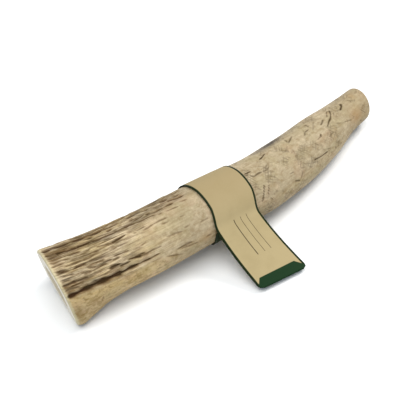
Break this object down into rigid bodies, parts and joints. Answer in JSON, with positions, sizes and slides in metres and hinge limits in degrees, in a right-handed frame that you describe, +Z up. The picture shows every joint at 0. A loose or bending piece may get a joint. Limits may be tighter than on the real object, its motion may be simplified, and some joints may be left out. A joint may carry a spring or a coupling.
{
  "type": "elk antler with paper tag",
  "caption": "Sawn length of elk antler with a ridged thick end and a smooth thin end, lying on its side, with a kraft card tag folded round its middle.",
  "frame": {"origin": "middle of the bottom of the whole object's box, on the surface that the antler lies on", "axes": "+X along the antler from its thick sawn end to its thin one, +Z up, and the tag's tail points to -Y"},
  "size_m": [0.2066, 0.0786, 0.0344],
  "materials": {
    "antler_bone": "dry antler bone: cream ridges over dark brown gutters at the thick end, smooth tan at the thin end, satin",
    "kraft_card": "uncoated kraft card with a printed dark green edge stripe and end band, matt"
  },
  "bodies": {
    "root": {"antler": "antler_bone", "paper_tag": "kraft_card"}
  },
  "joints": []
}
